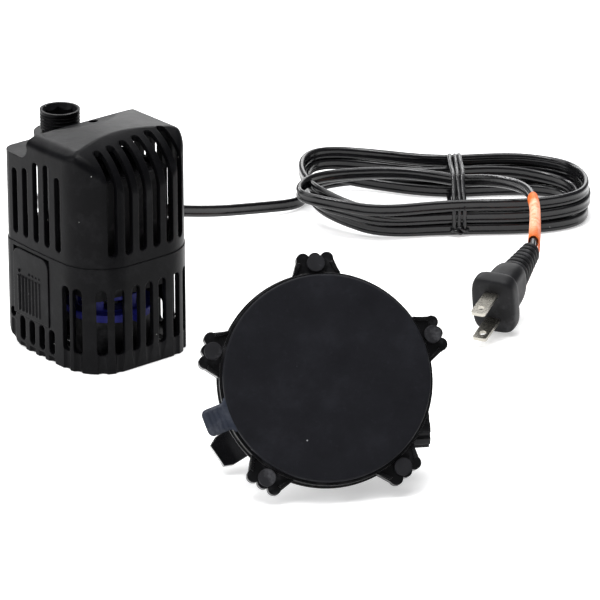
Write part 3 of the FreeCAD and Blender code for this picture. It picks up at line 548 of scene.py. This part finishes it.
# Each strand: offset along the hank, sway, radius.
TIE_STRANDS = ((-2.3, 0.5, 1.05), (0.0, -0.3, 0.95), (2.2, 0.4, 1.05))
# Each twisted end: where it lies across the hank, its height, its reach.
TIE_ENDS = ((-27.6, 2.2, 5.0), (-27.4, 3.6, 4.0))
TIE_END_SHIFT = -8
TIE_END_POINTS = 10
TIE_END_TWIST = 2.6 * math.pi
TIE_END_STRETCH = 1.6
TIE_END_COIL = 0.8
TIE_END_RADIUS = 0.75


def make_tie():
    """Three passes of plastic-covered wire and their twisted ends."""
    strands = []
    for i, (offset, lean, radius) in enumerate(TIE_STRANDS):
        points = []
        for j, (y, z) in enumerate(TIE_OUTLINE):
            sway = TIE_SWAY * lean * math.sin(j * TIE_SWAY_STEP + i) + TIE_SKEW * (y - TIE_SKEW_CENTRE)
            points.append(hank_point(TIE_SHIFT + offset + sway, y, z))
        strands.append(nurbs("hank_tie_%d" % (i + 1), points, closed=True))
        strands[-1].data.bevel_depth = radius * MM
    for i, (y, z, reach) in enumerate(TIE_ENDS):
        points = []
        for j in range(TIE_END_POINTS):
            t = j / (TIE_END_POINTS - 1)
            angle = TIE_END_TWIST * t + i * math.pi
            points.append(hank_point(TIE_SHIFT + TIE_END_SHIFT + reach * TIE_END_STRETCH * t,
                                     y + TIE_END_COIL * math.cos(angle),
                                     z + TIE_END_COIL * math.sin(angle)))
        strands.append(nurbs("hank_tie_end_%d" % (i + 1), points))
        strands[-1].data.bevel_depth = TIE_END_RADIUS * MM
        strands[-1].data.use_fill_caps = True
    for strand in strands:
        strand.data.bevel_resolution = 4
        dress(strand, "tie_plastic")
        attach(strand, "pump")
    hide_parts("cord_tie")
    return strands


# ---- plug ----

def mount_axis(name):
    return Vector(mounts[name]["axis"]).normalized()


def mount_frame(name, x, y, z):
    """The matrix that has these axes and starts at the mount."""
    place = Matrix((x, y, z)).transposed().to_4x4()
    place.translation = Vector(mounts[name]["pos_m"])
    return place


def plug_axes():
    """X is the plug's axis, out of its face, and Z is as near to straight up as it can be."""
    x = mount_axis("mains_plug")
    y = Vector((0, 0, 1)).cross(x).normalized()
    return mount_frame("mains_plug", x, y, x.cross(y))


PLUG_STATIONS = [
    # distance behind the face, half width, half height, squareness
    (0.0, 7.4, 10.9, 4.0), (0.05, 8.6, 12.1, 4.0), (0.5, 9.4, 12.9, 4.0), (1.4, 9.9, 13.4, 4.2),
    (3.5, 10.0, 13.5, 4.2), (6.2, 10.0, 13.5, 4.2), (7.3, 9.7, 13.2, 4.0), (7.9, 9.0, 12.4, 3.8),
    (8.3, 8.2, 11.2, 3.6), (9.0, 7.7, 10.2, 3.4), (10.5, 7.6, 9.7, 3.3), (13.0, 7.7, 9.6, 3.2),
    (17.0, 7.7, 9.5, 3.1), (20.5, 7.5, 9.2, 3.0), (23.0, 7.1, 8.6, 2.8), (24.8, 6.4, 7.7, 2.6),
    (26.0, 5.4, 6.4, 2.4), (26.4, 4.2, 5.0, 2.2),
]
RING_POINTS = 48
# The finger dents in the plug's sides: depth, half height, the share of the half width beyond which
# a point is on a side, where they start and end behind the face, and the length of each slope.
DENT_DEPTH = 0.9
DENT_HALF_HEIGHT = 6.0
DENT_SIDE = 0.6
DENT_FROM = 9
DENT_TO = 24
DENT_SLOPE = 3
RELIEF_RIBS = 7
RELIEF_START = 25.6
RELIEF_PITCH = 3.15
RELIEF_POWER = 2.4
# Half width and half height of the first and the last rib.
RELIEF_FIRST = (6.3, 7.0)
RELIEF_LAST = (4.1, 4.9)
# One rib: distance from its start, and what is added there to its half width and half height.
RIB_PROFILE = ((0.0, -1.3), (0.25, -0.35), (0.7, 0.0), (1.7, 0.0), (2.2, -0.3), (2.45, -1.3))
# The end of the strain relief, given as a station of the plug is.
RELIEF_TIP = (48.3, 2.9, 3.6, 2.2)


def plug_ring(place, x, half_y, half_z, power, dent=0.0):
    """A section of the plug, `x` millimetres behind its face, pressed in at its sides by `dent`."""
    ring = []
    for y, z in squircle(half_y, half_z, power, RING_POINTS):
        if abs(y) > half_y * DENT_SIDE:
            y -= math.copysign(dent * max(0.0, 1 - (z / DENT_HALF_HEIGHT) ** 2), y)
        ring.append(place @ Vector((-x * MM, y * MM, z * MM)))
    return ring


def make_plug():
    """The moulded body and its ribbed strain relief."""
    place = plug_axes()
    rings = []
    for x, half_y, half_z, power in PLUG_STATIONS:
        dent = DENT_DEPTH * ease((x - DENT_FROM) / DENT_SLOPE) * ease((DENT_TO - x) / DENT_SLOPE)
        rings.append(plug_ring(place, x, half_y, half_z, power, dent))
    body = skin("plug_moulding", rings)
    subdivide(body)

    ribs = []
    for i in range(RELIEF_RIBS):
        start = RELIEF_START + i * RELIEF_PITCH
        fade = i / (RELIEF_RIBS - 1)
        wide, tall = [mix(first, last, fade) for first, last in zip(RELIEF_FIRST, RELIEF_LAST)]
        for along, grow in RIB_PROFILE:
            ribs.append(plug_ring(place, start + along, wide + grow, tall + grow, RELIEF_POWER))
    ribs.append(plug_ring(place, *RELIEF_TIP))
    relief = skin("plug_relief_ribs", ribs)
    subdivide(relief)
    for piece, node in ((body, "plug_body"), (relief, "plug_strain_relief")):
        dress(piece, "plug_pvc")
        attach(piece, "pump")
        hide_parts(node)
    return body, relief


# ---- paper tag on the cord ----

TAG_POINTS = 44
TAG_WRAP_FROM = -150
TAG_WRAP = 400
TAG_HALF_WIDTH = 2.3
TAG_HALF_HEIGHT = 3.35
TAG_SPIRAL = 0.25
# The free edge of the tag: where along the wrap it leaves the cord, and how far it stands off.
FLAP_FROM = 0.88
FLAP_LIFT = 2.6
# The pale label: its range along the tag, round it, and the width of its soft edge.
LABEL_ALONG = (0.2, 0.93)
LABEL_ROUND = (0.1, 0.8)
LABEL_EDGE = 0.08
PAPER = 0.2


def band(t, start, end):
    """1 between start and end, with a soft edge inside each, and 0 outside."""
    return ease((t - start) / LABEL_EDGE) * ease((end - t) / LABEL_EDGE)


def make_tag(centre_line):
    """Paper wrapped just over once round the cord inside the CAD tag's box, with a loose flap."""
    low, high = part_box("cord_tag")
    path = [p for p in centre_line if low.x < p.x < high.x and low.y < p.y < high.y]
    mesh = bpy.data.meshes.new("cord_tag_wrap")
    verts, faces, label = [], [], []
    for i, point in enumerate(path):
        ahead = path[min(i + 1, len(path) - 1)] - path[max(i - 1, 0)]
        along = ahead.normalized()
        side = along.cross(Vector((0, 0, 1))).normalized()
        up = side.cross(along)
        t = i / (len(path) - 1)
        for j in range(TAG_POINTS):
            turn = j / (TAG_POINTS - 1)
            angle = math.radians(TAG_WRAP_FROM + TAG_WRAP * turn)
            flap = max(0.0, turn - FLAP_FROM) / (1 - FLAP_FROM) * (0.7 + 0.6 * t)
            lift = TAG_SPIRAL * turn + FLAP_LIFT * flap
            across = side * (TAG_HALF_WIDTH + lift) * math.cos(angle)
            upward = up * (TAG_HALF_HEIGHT + lift) * math.sin(angle)
            verts.append(point + (across + upward) * MM)
            label.append(band(t, *LABEL_ALONG) * band(turn, *LABEL_ROUND))
    for i in range(len(path) - 1):
        for j in range(TAG_POINTS - 1):
            a = i * TAG_POINTS + j
            faces.append((a, a + 1, a + TAG_POINTS + 1, a + TAG_POINTS))
    mesh.from_pydata([tuple(v) for v in verts], [], faces)
    mesh.attributes.new("label", "FLOAT", "POINT").data.foreach_set("value", label)
    smooth(mesh)
    tag = link("cord_tag_wrap", mesh)
    paper = tag.modifiers.new("paper", "SOLIDIFY")
    paper.thickness = PAPER * MM
    paper.offset = 1
    dress(tag, "tag_paper")
    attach(tag, "pump")
    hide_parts("cord_tag")
    return tag


# ---- pull tab of the suction disc ----

def suction_axes():
    """The mount's frame: Z out of the disc's face, X level, as the CAD's own mount axes."""
    w = mount_axis("suction_face")
    u = Vector((-w.y, w.x, 0)).normalized()
    return mount_frame("suction_face", u, w.cross(u), w)


TAB_ANGLE = math.radians(198)
TAB_ROOT = 41.2
TAB_TIP = 52.0
TAB_COLUMNS = 64
TAB_ROWS = 30
TAB_HALF_WIDTH = 5.6
TAB_CORNER = 2.4
TAB_FLARE = 1.8
TAB_FLARE_END = 0.22
TAB_LEVEL = -1.3
TAB_HALF_THICKNESS = 0.75
TAB_DROOP = -1.2
# The ribs across the tab: where they start and end from its root, their spacing and height, and the
# share of the tab's width that they cross.
RIBS_FROM = 2.2
RIBS_TO = 9.8
RIB_PITCH = 1.9
RIB_HEIGHT = 0.42
RIB_SHARE = 0.82


def make_tab():
    """A ribbed rubber ear that widens into the disc's rim."""
    place = suction_axes() @ Matrix.Rotation(TAB_ANGLE, 4, "Z")
    columns, rows = TAB_COLUMNS, TAB_ROWS
    top, bottom = [], []
    for i in range(columns):
        t = i / (columns - 1)
        r = mix(TAB_ROOT, TAB_TIP, t)
        corner = max(0.0, (r - (TAB_TIP - TAB_CORNER)) / TAB_CORNER)
        cut = TAB_CORNER * (1 - math.sqrt(max(0.0, 1 - corner ** 2)))
        half = TAB_HALF_WIDTH - cut + TAB_FLARE * (1 - ease(t / TAB_FLARE_END)) ** 2
        rib = 0.0
        if RIBS_FROM < r - TAB_ROOT < RIBS_TO:
            phase = (r - TAB_ROOT - RIBS_FROM - RIB_PITCH / 2) / RIB_PITCH
            rib = RIB_HEIGHT * (0.5 + 0.5 * math.cos(2 * math.pi * phase)) ** 0.7
        level = TAB_LEVEL + TAB_DROOP * ease(t) * t
        for j in range(rows):
            s = 2 * j / (rows - 1) - 1
            thick = TAB_HALF_THICKNESS * (1 - abs(s) ** 10) * (1 - 0.6 * corner ** 6)
            x = math.sqrt(max(0.0, r * r - (s * half) ** 2)) if t < 0.02 else r
            raised = rib if abs(s) < RIB_SHARE else 0.0
            top.append((x, s * half, level + thick + raised))
            bottom.append((x, s * half, level - thick))
    verts = [place @ (Vector(p) * MM) for p in top + bottom]
    count = columns * rows
    faces = []
    for i in range(columns - 1):
        for j in range(rows - 1):
            a = i * rows + j
            faces.append((a, a + rows, a + rows + 1, a + 1))
            faces.append((count + a, count + a + 1, count + a + rows + 1, count + a + rows))
    rim = (list(range(rows)) + [i * rows + rows - 1 for i in range(1, columns)]
           + [(columns - 1) * rows + j for j in range(rows - 2, -1, -1)]
           + [i * rows for i in range(columns - 2, 0, -1)])
    for k, a in enumerate(rim):
        b = rim[(k + 1) % len(rim)]
        faces.append((a, b, count + b, count + a))
    tab = solid("ribbed_pull_tab", verts, faces)
    dress(tab, "tab_rubber")
    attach(tab, "plunger")
    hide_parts("pull_tab")
    return tab


# ---- floor and light ----

FLOOR_HALF = 6.0
FLOOR_DROP = 0.0002
FLOOR_GLOW = 0.42
LIGHT_AIM = Vector((0.09, -0.05, 0.03))
# Each area light: place, size, power.
LIGHTS = {
    "overhead": ((0.1, 0.1, 1.5), (1.6, 1.6), 26),
    "left_bank": ((-1.2, 0.35, 0.7), (0.9, 0.8), 7),
    "right_bank": ((1.1, 0.9, 0.6), (0.8, 0.7), 6),
    "back_strip": ((0.15, 1.3, 0.9), (1.3, 0.10), 9),
    "top_strip": ((-0.15, -0.1, 1.3), (0.12, 1.0), 9),
}
SKY_COLOUR = (0.96, 0.97, 1.0, 1)
SKY_STRENGTH = 0.22


def make_floor():
    """A white floor that glows a little, set just below the part so that the two don't flicker."""
    mesh = bpy.data.meshes.new("floor")
    corners = [(-1, -1), (1, -1), (1, 1), (-1, 1)]
    mesh.from_pydata([(x * FLOOR_HALF, y * FLOOR_HALF, 0) for x, y in corners], [], [(0, 1, 2, 3)])
    f = Finish("floor_white", Roughness=0.9, Specular_IOR_Level=0.0, Emission_Color=(1, 1, 1, 1),
               Emission_Strength=FLOOR_GLOW)
    f.colour(f.ramp(f.noise(0.5, 2), (0.3, (0.86, 0.86, 0.86)), (0.7, (0.88, 0.88, 0.88))))
    mesh.materials.append(f.done())
    floor = link("floor", mesh)
    floor.location.z = -FLOOR_DROP


def make_light(name, place, size, power):
    data = bpy.data.lights.new(name, "AREA")
    data.shape = "RECTANGLE"
    data.size, data.size_y = size
    data.energy = power
    light = link(name, data)
    light.location = place
    light.rotation_euler = (LIGHT_AIM - Vector(place)).to_track_quat("-Z", "Y").to_euler()


def make_studio():
    make_floor()
    for name, row in LIGHTS.items():
        make_light(name, *row)
    world = bpy.data.worlds.new("studio")
    world.use_nodes = True
    background = world.node_tree.nodes["Background"]
    background.inputs["Color"].default_value = SKY_COLOUR
    background.inputs["Strength"].default_value = SKY_STRENGTH
    bpy.context.scene.world = world
    bpy.context.scene.view_settings.view_transform = "Standard"


make_camera()
cord, cord_line = make_cord()
make_studio()
dress_frame()
tie = make_tie()
plug = make_plug()
tag = make_tag(cord_line)
tab = make_tab()
